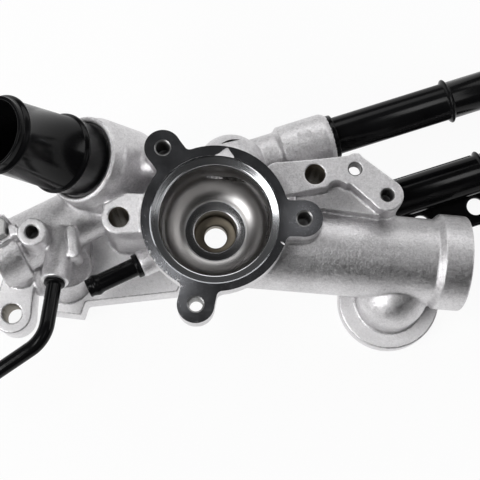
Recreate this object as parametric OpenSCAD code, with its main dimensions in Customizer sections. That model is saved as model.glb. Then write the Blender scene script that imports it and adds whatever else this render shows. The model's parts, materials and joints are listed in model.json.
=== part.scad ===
// Cast coolant thermostat housing with pressed-in pipes.
// Millimetres. The origin is the centre of the cover flange's sealing face, +Z points out of the pocket,
// and the engine face is the plane z = -engine_depth.

/* [Cover flange and pocket] */
// Outer radius of the flange ring
ring_r = 30.6; // [28.6:0.2:36]
// Depth of the flange ring
ring_t = 11; // [8:0.5:16]
// Radius of the gasket recess
recess_r = 26.7; // [25:0.1:30]
// Depth of the gasket recess
recess_d = 2; // [1:0.25:5]
// Radius of the pocket wall
pocket_r = 23; // [20:0.25:25]
// Radius of the bowl at the bottom of the pocket
bowl_r = 24.5; // [23.5:0.25:30]
// Depth of the bowl's centre below the flange face
bowl_centre = 3; // [0:0.5:10]
// Radius of the well in the bowl's floor
well_r = 9; // [6:0.25:12]
// Depth of the well's floor
well_d = 37; // [30:0.5:42]
// Radius of the cutter that opens the two slots in the pocket's wall
window_r = 9.5; // [6:0.25:11]
// Height of those slots
window_h = 4; // [2:0.25:6]
// Radius of the hole in the well's floor
bleed_r = 4.8; // [3:0.1:6]
// Centre of the ring and of the cover bolts, a little above the pocket's axis
ring_at = [0, 0.8];
// Radius of the circle that the cover bolts stand on
lug_circle_r = 36.7; // [34:0.1:42]
// Angles of the cover lugs: left, right, lower
lug_angles = [126.4, -0.4, 257.9];
// Radius of a cover lug
lug_r = 7.7; // [6:0.1:10]
// Radius of the hollow corner between a lug and the ring
lug_fillet_r = 4; // [2:0.25:7]
// Radius of a tapped cover hole
lug_hole_r = 2.75; // [2.2:0.05:4]
// Depth of the blind cover holes
lug_hole_d = 15; // [10:0.5:20]

/* [Engine face] */
// Depth of the engine face below the flange face
engine_depth = 66; // [60:1:75]
// Thickness of the base plate and the bolt pad
base_t = 17; // [10:0.5:22]
// Radius of the engine bolt holes
bolt_r = 4.2; // [3.5:0.1:5.5]
// Position of the left bolt column
column_at = [-40, 2.2];
// Radius of the bolt columns
column_r = 7.2; // [6:0.1:10]
// Depth of the left column's face
column_face = 6; // [3:0.5:12]
// Position of the bolt pad at the far left
pad_at = [-89.6, -32.3];
// Radius of the bolt pad's end
pad_r = 8.8; // [7:0.1:12]

/* [Ear plate] */
// Position of the right bolt hole
ear_bolt_at = [41.9, 21.5];
// Position of the first tapped hole
ear_tap_a = [58.8, 23.8];
// Position of the second tapped hole
ear_tap_b = [72.2, 12.6];
// Depth of the ear plate's face
ear_face = 9; // [6:0.5:14]
// Thickness of the ear plate
ear_t = 7.5; // [5:0.5:12]
// Radius of the tapped accessory holes
tap_r = 2.5; // [2:0.1:3.5]

/* [Right duct] */
// Radius of the right duct
duct_r = 18.3; // [16:0.1:22]
// Radius of its end collar
collar_r = 20.8; // [19:0.1:25]
// Length of its end collar
collar_l = 12; // [8:0.5:18]
// Radius of the right port
port_r = 17; // [14:0.1:19]
// Depth of the right port
port_d = 14; // [8:0.5:20]
// Radius of the right duct's passage
passage_r = 14.5; // [10:0.1:16]

/* [Rear port] */
// Position of the rear port
rear_at = [77.7, -24.3];
// Radius of the rear port's flange
rear_flange_r = 22.5; // [20:0.5:28]
// Thickness of the rear port's flange
rear_flange_t = 9; // [6:0.5:14]
// Radius of the dome over the rear port
dome_r = 15.2; // [13:0.1:20]
// Radius of the rear port
rear_r = 13; // [8:0.1:13.5]
// Depth of the rear port
rear_d = 12; // [6:0.5:16]
// Radius of the passage above the rear port
rear_passage_r = 10.5; // [6:0.1:12]

/* [Left duct] */
// Radius of the left duct
arm_r = 12.3; // [10:0.1:15]
// Radius of its end collar
arm_collar_r = 15; // [13:0.1:18]
// Length of its end collar
arm_collar_l = 12; // [8:0.5:18]
// Radius of the left port
arm_port_r = 11.5; // [8:0.1:13]
// Depth of the left port
arm_port_d = 13; // [8:0.5:20]
// Radius of the left duct's passage
arm_passage_r = 8.2; // [6:0.1:10]

/* [Hose neck] */
// Outer radius of the hose neck in its socket
neck_r = 15.5; // [14:0.1:18]
// Outer radius of the hose neck at its free end
neck_tip_r = 14.7; // [13:0.1:18]
// Wall of the hose neck at its free end
neck_wall = 1.6; // [1:0.1:3]
// Length of the hose neck outside its socket
neck_l = 51; // [40:1:70]
// Lean of the neck from the flange's axis
neck_lean = 35; // [20:1:50]
// Height of the neck's beads
neck_bead = 1.3; // [0.5:0.1:2.5]
// Outer radius of the neck's socket
neck_socket_r = 18.6; // [17:0.1:21]
// Depth of the neck in its socket
neck_seat = 13; // [8:0.5:20]

/* [Pipes] */
// Outer radius of the upper pipe
upper_r = 8.2; // [7:0.05:10]
// Outer radius of the lower pipe
lower_r = 8.5; // [7:0.05:11]
// Wall of the upper and lower pipes
pipe_wall = 1.2; // [0.8:0.1:2]
// Radius of the bend in the vent pipe
vent_bend_r = 12; // [9:0.5:20]
// Outer radius of the vent pipe
vent_r = 3.2; // [2.5:0.1:5]
// Length of the vent pipe from its socket to its bend's corner
vent_l = 27; // [24:1:45]
// Length of the vent pipe after its bend's corner
vent_tail = 42; // [25:1:70]
// Outer radius of the hose nipple
nipple_r = 4; // [3:0.1:6]
// Width of the hexagon plug across its flats
hex_af = 10; // [8:0.5:14]
// Thickness of the pipe bracket
bracket_t = 3; // [2:0.25:4]
// Radius of the bracket around its holes
bracket_pad_r = 8.6; // [7:0.1:12]
// Width of the bracket behind its holes
bracket_w = 23.5; // [12:0.5:28]
// Radius of the bracket's holes
bracket_hole_r = 4; // [3:0.1:5]

/* [Hidden] */
$fn = 72;
eps = 0.02;

lug_t = ring_t + 1.5;
engine_z = -engine_depth;
base_z = engine_z + base_t;

// Right duct: its axis runs from inside the body to the collar's end face
duct_a = [14, -5.3, -28.9];
duct_end = [107.7, -11.4, -38.6];
duct_dir = unit(duct_end - duct_a);

// Left duct: its axis runs from its bend behind the neck to the collar's end face
arm_bend = [-42, 16.9, -32];
arm_end = [-95.4, -10.1, -32];
arm_dir = unit(arm_end - arm_bend);
arm_inner = [-18, 15, -30];

// Hose neck: its axis lies in a plane of constant y
neck_rim = [-57.1, 27.3, -8];
neck_dir = [-sin(neck_lean), 0, cos(neck_lean)];

// Upper pipe and its socket
upper_a = [4, 28, -29.5];
upper_mouth = [52.3, 43.7, -29.5];
upper_dir = unit(upper_mouth - upper_a);
upper_socket_r = 11.4;
upper_arm_r = 9.7;
upper_seat = 18;
upper_l = 92;

// Lower pipe and its socket
lower_a = [46, 8.6, -50];
lower_mouth = [73.8, 17.6, -50];
lower_dir = unit(lower_mouth - lower_a);
lower_socket_r = 11.8;
lower_seat = 15;
lower_l = 66;

// Bracket under the lower pipe
bracket_top = lower_mouth[2] - lower_r + 1.2;
bracket_holes = [[93.2, 10.4], [118.4, 18.6]];
bracket_u = unit(bracket_holes[1] - bracket_holes[0]);
bracket_v = [-bracket_u[1], bracket_u[0]];
bracket_over = 0.9 * bracket_pad_r;

// Vent pipe and its socket
vent_mouth = [-67.3, -23, -18];
vent_dir = unit([-0.09, -0.94, 0.32]);
vent_root = vent_mouth - 22 * vent_dir;
vent_socket_r = 6;
vent_seat = 9;
vent_corner = vent_mouth + vent_l * vent_dir;
vent_end = vent_corner + vent_tail * unit([-0.81, -0.5, -0.3]);

// Hose nipple and its boss
nipple_mouth = [-32, -14.4, -25];
nipple_dir = unit([-0.902, -0.432, 0]);
nipple_seat = 7;
nipple_l = 24.5;

// Small tapped boss, post and plug at the left end
boss_at = [-75.8, -4, -6];
boss_r = 6;
post_at = [-84.1, -2.6];
plug_at = [-92.2, -1.5];
plug_face = -8;
plug_head = 7;
plug_shank_r = 3;
plug_shank = 5;
plug_seat = plug_face - plug_head;
plug_boss_r = 7;

function unit(v) = v / norm(v);
function polar(r, a) = [r * cos(a), r * sin(a)];
function flat(p) = [p[0], p[1]];
function lug_at(i) = ring_at + polar(lug_circle_r, lug_angles[i]);

// Turns +Z onto the line from p towards q
module along(p, q) {
    v = unit(q - p);
    translate(p) rotate([0, acos(v[2]), atan2(v[1], v[0])]) children();
}

module rod(p, q, r) {
    along(p, q) cylinder(r = r, h = norm(q - p));
}

// Plate between two heights: two discs joined by straight sides
module link(z0, z1, p, rp, q, rq) {
    d = norm(q - p);
    a = atan2(q[1] - p[1], q[0] - p[0]);
    b = acos((rp - rq) / d);
    k = 0.985;
    union() {
        translate([p[0], p[1], z0]) cylinder(r = rp, h = z1 - z0);
        translate([q[0], q[1], z0]) cylinder(r = rq, h = z1 - z0);
        slab(z0, z1) polygon([
            p + polar(k * rp, a + b), q + polar(k * rq, a + b),
            q + polar(k * rq, a - b), p + polar(k * rp, a - b)]);
    }
}

// Slab of a flat outline between two heights
module slab(z0, z1) {
    translate([0, 0, z0]) linear_extrude(height = z1 - z0) children();
}

// Hole drilled from a face at height z towards -Z, with a chamfered mouth
module drilled(at, z, r, depth, chamfer) {
    translate([at[0], at[1], z - depth]) cylinder(r = r, h = depth + 1);
    translate([at[0], at[1], z - chamfer]) cylinder(r1 = r, r2 = r + chamfer + eps, h = chamfer + eps);
}

// Tube with raised beads, standing on +Z from z = 0
module beaded_tube(r, wall, l, beads, bead_r, bead_w) {
    difference() {
        union() {
            cylinder(r = r, h = l);
            for (z = beads) translate([0, 0, z]) bead(r, bead_r, bead_w);
        }
        translate([0, 0, -1]) cylinder(r = r - wall, h = l + 2);
    }
}

module bead(r, bead_r, w) {
    rotate_extrude() polygon([
        [r - 0.5, -w], [r, -w], [(r + bead_r) / 2, -0.72 * w], [bead_r - 0.12, -0.3 * w], [bead_r, 0],
        [bead_r - 0.12, 0.3 * w], [(r + bead_r) / 2, 0.72 * w], [r, w], [r - 0.5, w]]);
}

module flange_and_cup() {
    rotate_extrude() polygon([
        [0, -1], [28.5, -1], [28.5, -ring_t], [26.4, -ring_t - 3], [26.4, -27],
        [24.5, -34], [19, -40], [15, -43], [0, -43]]);
    translate(ring_at) {
        translate([0, 0, -ring_t]) cylinder(r = ring_r, h = ring_t);
        for (a = lug_angles) {
            link(-lug_t, 0, polar(20, a), lug_r, polar(lug_circle_r, a), lug_r);
            for (side = [-1, 1]) lug_corner(a, side);
        }
    }
}

// Hollow corner between the ring and a lug, around the ring's centre
module lug_corner(a, side) {
    p = ring_r + lug_fillet_r;
    q = lug_r + lug_fillet_r;
    t = acos((lug_circle_r * lug_circle_r + p * p - q * q) / (2 * lug_circle_r * p));
    c = polar(p, a + side * t);
    difference() {
        slab(-lug_t, 0) polygon([polar(21, a), polar(21, a + side * t), c, polar(lug_circle_r, a)]);
        translate([c[0], c[1], -lug_t - 1]) cylinder(r = lug_fillet_r + 0.15, h = lug_t + 2);
    }
}

module right_duct_body() {
    l = norm(duct_end - duct_a);
    along(duct_a, duct_end) rotate_extrude() polygon([
        [0, 0], [duct_r, 0], [duct_r, l - collar_l - 2.5], [collar_r, l - collar_l], [collar_r, l - 0.6],
        [collar_r - 0.6, l], [0, l]]);
    // The right lug stands on the duct, and the left one has a boss behind it
    slab(-lug_hole_d - 5, -1) translate(lug_at(0)) circle(lug_r - 0.4);
    slab(-24, -1) translate(lug_at(1)) circle(lug_r);
    // Dome and flange of the rear port
    translate([rear_at[0], rear_at[1], -43]) sphere(r = dome_r);
    translate([rear_at[0], rear_at[1], engine_z + 2]) cylinder(r = dome_r - 0.15, h = -43 - engine_z - 2);
    translate([rear_at[0], rear_at[1], engine_z]) cylinder(r = rear_flange_r, h = rear_flange_t);
    // Web between the dome and the collar
    link(engine_z + 2, -40, rear_at + [2, 4], 9, flat(duct_end) + [-8.7, -8.6], 6);
}

module left_duct_body() {
    rod(arm_bend, arm_end, arm_r);
    rod(arm_end - arm_collar_l * arm_dir, arm_end, arm_collar_r);
    translate(arm_bend) sphere(r = arm_r + 0.3);
    rod(arm_bend, arm_inner, arm_r);
    rod(neck_rim - 31 * neck_dir, neck_rim, neck_socket_r);
    rod(neck_rim - 31 * neck_dir, neck_rim - 7 * neck_dir, neck_socket_r + 1);
    // Tapped boss, post and plug boss
    translate([boss_at[0], boss_at[1], -34]) cylinder(r = boss_r, h = 34 + boss_at[2]);
    slab(-34, -10) translate(post_at) rotate(20) square([4, 5], center = true);
    translate([plug_at[0], plug_at[1], -34]) cylinder(r = plug_boss_r, h = 34 + plug_seat);
    // Vent socket with its rib
    rod(vent_root, vent_mouth, vent_socket_r);
    translate(vent_root) sphere(r = vent_socket_r + 0.2);
    link(-36, -16, [-61, -1], 2, [-59.4, -11], 2.2);
    // Leaning lobe below the socket, and its foot on the engine face
    rod([-65.4, -12, -40], [-66.8, -20.5, -61.5], 11.2);
    slab(engine_z, base_z) polygon([[-73.5, -31.2], [-59.2, -32.9], [-57.4, -27], [-57.4, -14], [-72, -10]]);
    // Bolt pad
    link(engine_z, base_z + 1, pad_at, pad_r, [-86.5, -14], 6.8);
    translate([-86.5, -14, engine_z + 1]) cylinder(r = 6.7, h = 27);
}

module base_body() {
    slab(engine_z, base_z) polygon([[-58, -27], [-17, -22.4], [-11, -10], [-11, 8], [-40, 13], [-58, 2]]);
    link(engine_z + 2, -column_face, column_at, column_r, [-26, 4.5], 8.6);
    slab(-24, -column_face) polygon([
        column_at + [-6.6, 1.5], column_at + [-6.6, 5.4], column_at + [3, 10.4],
        column_at + [16, 10], column_at + [16, 0]]);
    slab(base_z - 2, -25) translate([-17, -3]) circle(9);
    // Nipple boss
    rod(nipple_mouth - 16 * nipple_dir, nipple_mouth, 5.8);
}

module ear_body() {
    ear_back = -ear_face - ear_t;
    link(ear_back, -ear_face, ear_bolt_at, 6.6, ear_tap_a, 6.2);
    link(ear_back, -ear_face, ear_tap_a, 6.2, ear_tap_b, 6.9);
    link(ear_back, -ear_face, [27, 19.5], 7.4, ear_bolt_at, 6.6);
    slab(ear_back, -ear_face) polygon([
        ear_tap_a + [-6, 4], ear_tap_a + [-0.5, 7.1], ear_tap_a + [1.8, 6.9], ear_tap_a + [5.4, 3]]);
    // Right bolt column down to the engine face
    translate([ear_bolt_at[0], ear_bolt_at[1], engine_z]) cylinder(r = 6.5, h = engine_depth - ear_face - 1);
    translate([ear_bolt_at[0], ear_bolt_at[1], engine_z]) cylinder(r = 9, h = 8);
    // Tip boss on the duct, and the web that joins the ear to the duct
    translate([ear_tap_b[0], ear_tap_b[1], -30]) cylinder(r = 6.8, h = 30 - ear_face - 0.5);
    slab(-26, -17.5) polygon([[34, 20], [55, 21], [70, 11], [70, 5.2], [44, 8.6], [34, 9.6]]);
}

module upper_body() {
    translate([6.5, 26.9, -22]) sphere(r = 14.8);
    l = norm(upper_mouth - upper_a);
    along(upper_a, upper_mouth) rotate_extrude() polygon([
        [0, 0], [upper_arm_r, 0], [upper_arm_r, l - 26], [upper_socket_r, l - 24.6],
        [upper_socket_r, l - 4.8], [upper_socket_r - 0.6, l - 3.2],
        [upper_arm_r, l - 2.4], [upper_arm_r, l], [0, l]]);
    rod(lower_a, lower_mouth, lower_socket_r);
}

module pocket_cut() {
    translate([0, 0, -recess_d]) cylinder(r = recess_r, h = recess_d + 1);
    intersection() {
        translate([0, 0, -bowl_centre]) sphere(r = bowl_r);
        translate([0, 0, -40]) cylinder(r = pocket_r, h = 41);
    }
    translate([0, 0, -bowl_centre - 2]) cylinder(r = pocket_r, h = bowl_centre + 3);
    translate([0, 0, -well_d]) cylinder(r = well_r, h = well_d);
    translate([0, 0, engine_z - 1]) cylinder(r = bleed_r, h = engine_depth);
}

module passage_cut() {
    // Right duct with its port, and the window from the pocket
    rod([33, -6.5, -30.9], duct_end + duct_dir, passage_r);
    rod(duct_end - port_d * duct_dir, duct_end + duct_dir, port_r);
    translate([23.6, 1, -17.5]) cylinder(r = window_r - 1.5, h = window_h);
    // Rear port
    translate([rear_at[0], rear_at[1], engine_z - 1]) cylinder(r = rear_r, h = rear_d + 1);
    translate([rear_at[0], rear_at[1], engine_z]) cylinder(r = rear_passage_r, h = engine_depth - 38);
    // Left duct with its port
    rod([-34, 16.3, -31.3], arm_bend, arm_passage_r);
    translate(arm_bend) sphere(r = arm_passage_r + 0.1);
    rod(arm_bend, arm_end + arm_dir, arm_passage_r);
    rod(arm_end - arm_port_d * arm_dir, arm_end + arm_dir, arm_port_r);
    // Neck seat and its passage
    rod(neck_rim - neck_seat * neck_dir, neck_rim + neck_dir, neck_r);
    rod(neck_rim - 28 * neck_dir, neck_rim, neck_tip_r - neck_wall - 0.6);
    // Upper pipe seat, its passage and the window from the pocket
    rod(upper_mouth - upper_seat * upper_dir, upper_mouth + upper_dir, upper_r);
    rod(upper_a + 10 * upper_dir, upper_mouth, upper_r - pipe_wall - 0.5);
    translate([4.6, 24.5, -17]) cylinder(r = window_r, h = window_h);
    rod([8, 29, -15.5], upper_a + 12 * upper_dir, 4);
    // Lower pipe seat and its passage
    rod(lower_mouth - lower_seat * lower_dir, lower_mouth + lower_dir, lower_r);
    rod(lower_mouth - 22 * lower_dir, lower_mouth, lower_r - pipe_wall - 0.5);
    rod(lower_mouth - 22 * lower_dir, lower_mouth - 22 * lower_dir + [-2, -10, 12], 6);
    // Vent seat and nipple seat
    rod(vent_mouth - vent_seat * vent_dir, vent_mouth + vent_dir, vent_r);
    rod(vent_root, vent_mouth, vent_r - 1);
    rod(nipple_mouth - nipple_seat * nipple_dir, nipple_mouth + nipple_dir, nipple_r);
    rod(nipple_mouth - 16 * nipple_dir, nipple_mouth, nipple_r - 1.7);
}

module hole_cut() {
    drilled(lug_at(0), 0, lug_hole_r, lug_hole_d, 0.7);
    drilled(lug_at(1), 0, lug_hole_r, lug_hole_d - 2, 0.7);
    drilled(lug_at(2), 0, lug_hole_r, 30, 0.7);
    drilled(column_at, -column_face, bolt_r, engine_depth, 0.4);
    drilled(ear_bolt_at, -ear_face, bolt_r, engine_depth, 0.4);
    translate([51.6, 13.4, -ear_face - ear_t]) cylinder(r = 5.2, h = ear_t + 1);
    drilled(pad_at, base_z + 1, bolt_r, base_t + 2, 0.4);
    drilled(ear_tap_a, -ear_face, tap_r, 20, 0.6);
    drilled(ear_tap_b, -ear_face, tap_r, 12, 0.6);
    drilled(flat(boss_at), boss_at[2], tap_r, 14, 0.6);
    translate([plug_at[0], plug_at[1], plug_seat - plug_shank]) cylinder(r = plug_shank_r, h = 40);
}

// Aluminium casting with its machined faces and holes
module housing() {
    color([0.72, 0.71, 0.72]) difference() {
        union() {
            flange_and_cup();
            right_duct_body();
            left_duct_body();
            base_body();
            ear_body();
            upper_body();
        }
        pocket_cut();
        passage_cut();
        hole_cut();
    }
}

// Large hose neck with a bead at its end and a stop bead
module hose_neck() {
    stop_z = neck_seat + 12.4;
    tip_z = neck_seat + neck_l;
    color([0.06, 0.06, 0.06]) along(neck_rim - neck_seat * neck_dir, neck_rim) difference() {
        union() {
            rotate_extrude() polygon([
                [0, 0], [neck_r, 0], [neck_r, stop_z],
                [neck_tip_r, tip_z - 4.5], [neck_tip_r, tip_z], [0, tip_z]]);
            translate([0, 0, stop_z]) bead(neck_r, neck_r + neck_bead, 2);
            translate([0, 0, tip_z - 4.5]) bead(neck_tip_r, neck_tip_r + neck_bead, 2);
        }
        translate([0, 0, -1]) cylinder(r = neck_tip_r - neck_wall, h = tip_z + 2);
    }
}

// Upper pipe with one stop bead
module upper_pipe() {
    color([0.06, 0.06, 0.06]) along(upper_mouth - upper_seat * upper_dir, upper_mouth)
        beaded_tube(upper_r, pipe_wall, upper_seat + upper_l, [upper_seat + 52], upper_r + 1.6, 1.3);
}

// Lower pipe with one stop bead
module lower_pipe() {
    color([0.06, 0.06, 0.06]) along(lower_mouth - lower_seat * lower_dir, lower_mouth)
        beaded_tube(lower_r, pipe_wall, lower_seat + lower_l, [lower_seat + 48], lower_r + 1.6, 1.3);
}

// Flat bracket with two bolt holes, hollowed to seat on the lower pipe
module pipe_bracket() {
    z0 = bracket_top - bracket_t;
    end_a = bracket_holes[0] - 0.8 * bracket_over * bracket_u;
    end_b = bracket_holes[1] + 0.8 * bracket_over * bracket_u;
    color([0.06, 0.06, 0.06]) difference() {
        union() {
            link(z0, bracket_top, bracket_holes[0], bracket_pad_r, bracket_holes[1], bracket_pad_r);
            slab(z0, bracket_top) polygon([
                bracket_holes[0] - bracket_over * bracket_u, end_a + bracket_w * bracket_v,
                end_b + bracket_w * bracket_v, bracket_holes[1] + bracket_over * bracket_u]);
        }
        rod(lower_mouth, lower_mouth + (lower_l + 14) * lower_dir, lower_r);
        // Room for the pipe's bead, and for the hose that goes on behind it
        rod(lower_mouth + 46 * lower_dir, lower_mouth + 50 * lower_dir, lower_r + 2);
        rod(lower_mouth + 48.5 * lower_dir, lower_mouth + lower_l * lower_dir, lower_r + 3.5);
        for (h = bracket_holes)
            translate([h[0], h[1], z0 - 5]) cylinder(r = bracket_hole_r, h = bracket_t + 10);
    }
}

// Slim spigot with a collar at its root and a bead at its tip
module hose_nipple() {
    color([0.06, 0.06, 0.06]) along(nipple_mouth - nipple_seat * nipple_dir, nipple_mouth) difference() {
        union() {
            cylinder(r = nipple_r, h = nipple_seat + nipple_l);
            translate([0, 0, nipple_seat]) cylinder(r = nipple_r + 1.2, h = 2.4);
            translate([0, 0, nipple_seat + nipple_l - 4]) bead(nipple_r, nipple_r + 0.6, 2.2);
        }
        translate([0, 0, -1]) cylinder(r = nipple_r - 1.2, h = nipple_seat + nipple_l + 2);
    }
}

// Round bar or bore along the vent pipe's path: straight, a bend, straight.
// The bend is a hair slimmer, so that each straight ends in it cleanly
module vent_path(r, extra) {
    d1 = vent_dir;
    d2 = unit(vent_end - vent_corner);
    turn = acos(d1 * d2);
    cut = vent_bend_r * tan(turn / 2);
    w = unit(cross(d1, d2));
    n = cross(w, d1);
    c = vent_corner - cut * d1 + vent_bend_r * n;
    rod(vent_mouth - (vent_seat + extra) * d1, vent_corner - (cut - 0.8) * d1, r);
    multmatrix([
        [-n[0], d1[0], w[0], c[0]], [-n[1], d1[1], w[1], c[1]], [-n[2], d1[2], w[2], c[2]], [0, 0, 0, 1]])
        rotate_extrude(angle = turn) translate([vent_bend_r, 0]) circle(r - 0.12);
    rod(vent_corner + (cut - 0.8) * d2, vent_end + extra * d2, r);
}

// Slim bent pipe with a collar where it enters its socket
module vent_pipe() {
    color([0.06, 0.06, 0.06]) difference() {
        union() {
            vent_path(vent_r, 0);
            along(vent_mouth, vent_mouth + vent_dir) cylinder(r = vent_r + 1.3, h = 1.6);
        }
        vent_path(vent_r - 0.9, 1);
    }
}

// Hexagon screw plug
module hex_plug() {
    color([0.6, 0.6, 0.6]) {
        translate([plug_at[0], plug_at[1], plug_seat]) rotate(30)
            cylinder(d = hex_af / cos(30), h = plug_head, $fn = 6);
        translate([plug_at[0], plug_at[1], plug_seat - plug_shank])
            cylinder(r = plug_shank_r, h = plug_shank + 1);
    }
}

housing();
hose_neck();
upper_pipe();
lower_pipe();
pipe_bracket();
hose_nipple();
vent_pipe();
hex_plug();
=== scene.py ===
import json
import math
import bpy
import bmesh
import numpy as np
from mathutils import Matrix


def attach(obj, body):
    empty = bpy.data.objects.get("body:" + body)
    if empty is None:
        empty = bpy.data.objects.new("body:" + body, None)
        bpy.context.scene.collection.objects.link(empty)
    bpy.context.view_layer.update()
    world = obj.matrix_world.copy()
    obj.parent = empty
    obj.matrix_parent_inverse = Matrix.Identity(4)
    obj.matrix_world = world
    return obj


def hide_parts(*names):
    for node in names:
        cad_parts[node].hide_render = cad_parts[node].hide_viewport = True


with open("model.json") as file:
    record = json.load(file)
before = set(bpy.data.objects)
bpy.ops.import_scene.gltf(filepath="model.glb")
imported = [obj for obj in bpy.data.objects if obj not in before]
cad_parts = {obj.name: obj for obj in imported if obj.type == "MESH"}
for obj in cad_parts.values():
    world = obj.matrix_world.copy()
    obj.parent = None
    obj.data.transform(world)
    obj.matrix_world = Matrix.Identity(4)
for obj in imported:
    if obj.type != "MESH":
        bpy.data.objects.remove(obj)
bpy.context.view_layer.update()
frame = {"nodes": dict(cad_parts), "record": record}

import openvdb as vdb
from mathutils import Matrix, Vector

scene = bpy.context.scene
nodes = frame["nodes"]
mounts = {m["name"]: m for m in frame["record"]["mounts"]}
MM = 0.001
Z_AXIS = (0, 0, 1)
POCKET_CENTRE = (0, 0, 0)


def vec(*p):
    return np.array(p, float)


def unit(v):
    v = np.asarray(v, float)
    return v / np.linalg.norm(v)


def place(name):
    """Position in mm and axis of a mount of the record."""
    m = mounts[name]
    return vec(*m["pos_m"]) * 1000, unit(m["axis"])


def mouth_of(name, distance):
    """Where a tube leaves its socket, a distance in mm behind its mount, and the way it points."""
    at, way = place(name)
    return at - distance * way, way


# Fineness: voxels in mm, and the most triangles of a rounded piece
CASTING_VOXEL = 0.36
BRACKET_VOXEL = 0.3
PLUG_VOXEL = 0.15
CASTING_TRIANGLES = 165000
SMALL_TRIANGLES = 40000

# Casting: fillets and edge rounds, the stock left on machined faces, and heights along Z, all in mm
FILLET = 0.7
EDGE_ROUND = 0.3
STOCK = 1.6
FLANGE_REACH = 47
FLANGE_FACE = 0.0
COLUMN_TOP = -6.0
EAR_TOP = -9.0
WEB_TOP = -17.5
PAD_TOP = -48.0
PLATE_TOP = -49.0
REAR_FLANGE_TOP = -57.0
ENGINE_FACE = place("engine_face")[0][2]
LEVEL_TOLERANCE = 0.3

# Pocket: the recess lies a little off the axis, and the wall is part of an ellipse turned round it
RECESS_CENTRE = (0, 0.35, 0)
WALL_R = 23.2
WALL_TOP = -9.0
WALL_ACROSS = 15.7
WALL_DEEP = 15.9
STEP_R = 12.9
WELL_R = 9.1
DRAIN_R = 5.0

# Tubes: outer radius, bore radius, and how far in mm each mount lies from its tube's mouth
NECK_R, NECK_BORE = 15.5, 13.1
UPPER_R, UPPER_BORE = 8.2, 7.0
LOWER_R, LOWER_BORE = 8.5, 7.3
NIPPLE_R, NIPPLE_BORE = 4.0, 2.8
VENT_R, VENT_BORE, VENT_BEND = 3.2, 2.3, 12
neck_mouth, neck_way = mouth_of("hose_neck_bore", 20)
upper_mouth, upper_way = mouth_of("upper_pipe_end", 72)
lower_mouth, lower_way = mouth_of("lower_pipe_end", 58)
nipple_mouth, nipple_way = mouth_of("nipple_bore", 10)


# Materials

def new_material(name):
    m = bpy.data.materials.new(name)
    m.use_nodes = True
    nt = m.node_tree
    nt.nodes.clear()
    out = nt.nodes.new("ShaderNodeOutputMaterial")
    bsdf = nt.nodes.new("ShaderNodeBsdfPrincipled")
    nt.links.new(bsdf.outputs[0], out.inputs[0])
    return m, nt, bsdf


def node(nt, kind, **values):
    """Shader node with its sockets, or else its settings, by name."""
    n = nt.nodes.new(kind)
    for k, v in values.items():
        if k in n.inputs:
            n.inputs[k].default_value = v
        else:
            setattr(n, k, v)
    return n


def coords(nt, scale=(1, 1, 1), rotation=(0, 0, 0), location=(0, 0, 0)):
    """Object coordinates, in metres before the scale."""
    tc = node(nt, "ShaderNodeTexCoord")
    mp = node(nt, "ShaderNodeMapping", Scale=scale, Rotation=rotation, Location=location)
    nt.links.new(tc.outputs["Object"], mp.inputs["Vector"])
    return mp.outputs["Vector"]


def noise(nt, vector, scale, detail, rough):
    n = node(nt, "ShaderNodeTexNoise", Scale=scale, Detail=detail, Roughness=rough)
    nt.links.new(vector, n.inputs["Vector"])
    return n.outputs["Fac"]


def ramp(nt, fac, *stops):
    """Color ramp through stops of (position, value or colour)."""
    r = node(nt, "ShaderNodeValToRGB")
    el = r.color_ramp.elements
    while len(el) < len(stops):
        el.new(0.5)
    for e, (p, c) in zip(el, stops):
        e.position = p
        e.color = (c, c, c, 1) if isinstance(c, (int, float)) else (*c, 1)
    nt.links.new(fac, r.inputs["Fac"])
    return r.outputs["Color"]


def mix(nt, fac, a, b, blend="MIX"):
    m = node(nt, "ShaderNodeMix", data_type="RGBA", blend_type=blend)
    for k, v in ((0, fac), (6, a), (7, b)):
        if isinstance(v, (int, float)):
            m.inputs[k].default_value = v if k == 0 else (v, v, v, 1)
        elif isinstance(v, tuple):
            m.inputs[k].default_value = (*v, 1)
        else:
            nt.links.new(v, m.inputs[k])
    return m.outputs[2]


def math_node(nt, op, a, b=0.0):
    m = node(nt, "ShaderNodeMath", operation=op)
    for k, v in ((0, a), (1, b)):
        if isinstance(v, (int, float)):
            m.inputs[k].default_value = v
        else:
            nt.links.new(v, m.inputs[k])
    return m.outputs[0]


def weighted(nt, *terms):
    """Sum of (value, weight) pairs."""
    total = None
    for value, weight in terms:
        part = math_node(nt, "MULTIPLY", value, weight)
        total = part if total is None else math_node(nt, "ADD", total, part)
    return total


def bump(nt, bsdf, height, strength, distance):
    b = node(nt, "ShaderNodeBump", Strength=strength, Distance=distance)
    nt.links.new(height, b.inputs["Height"])
    nt.links.new(b.outputs["Normal"], bsdf.inputs["Normal"])


def distance_to(nt, at):
    """Distance in metres from a point given in mm."""
    tc = node(nt, "ShaderNodeTexCoord")
    d = node(nt, "ShaderNodeVectorMath", operation="DISTANCE")
    nt.links.new(tc.outputs["Object"], d.inputs[0])
    d.inputs[1].default_value = tuple(c * MM for c in at)
    return d.outputs["Value"]


def spot(nt, at, inner, outer):
    """One inside the inner radius in mm, fading to zero at the outer radius."""
    d = math_node(nt, "SUBTRACT", distance_to(nt, at), inner * MM)
    d = math_node(nt, "DIVIDE", d, (outer - inner) * MM)
    return ramp(nt, d, (0.0, 1.0), (1.0, 0.0))


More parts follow.
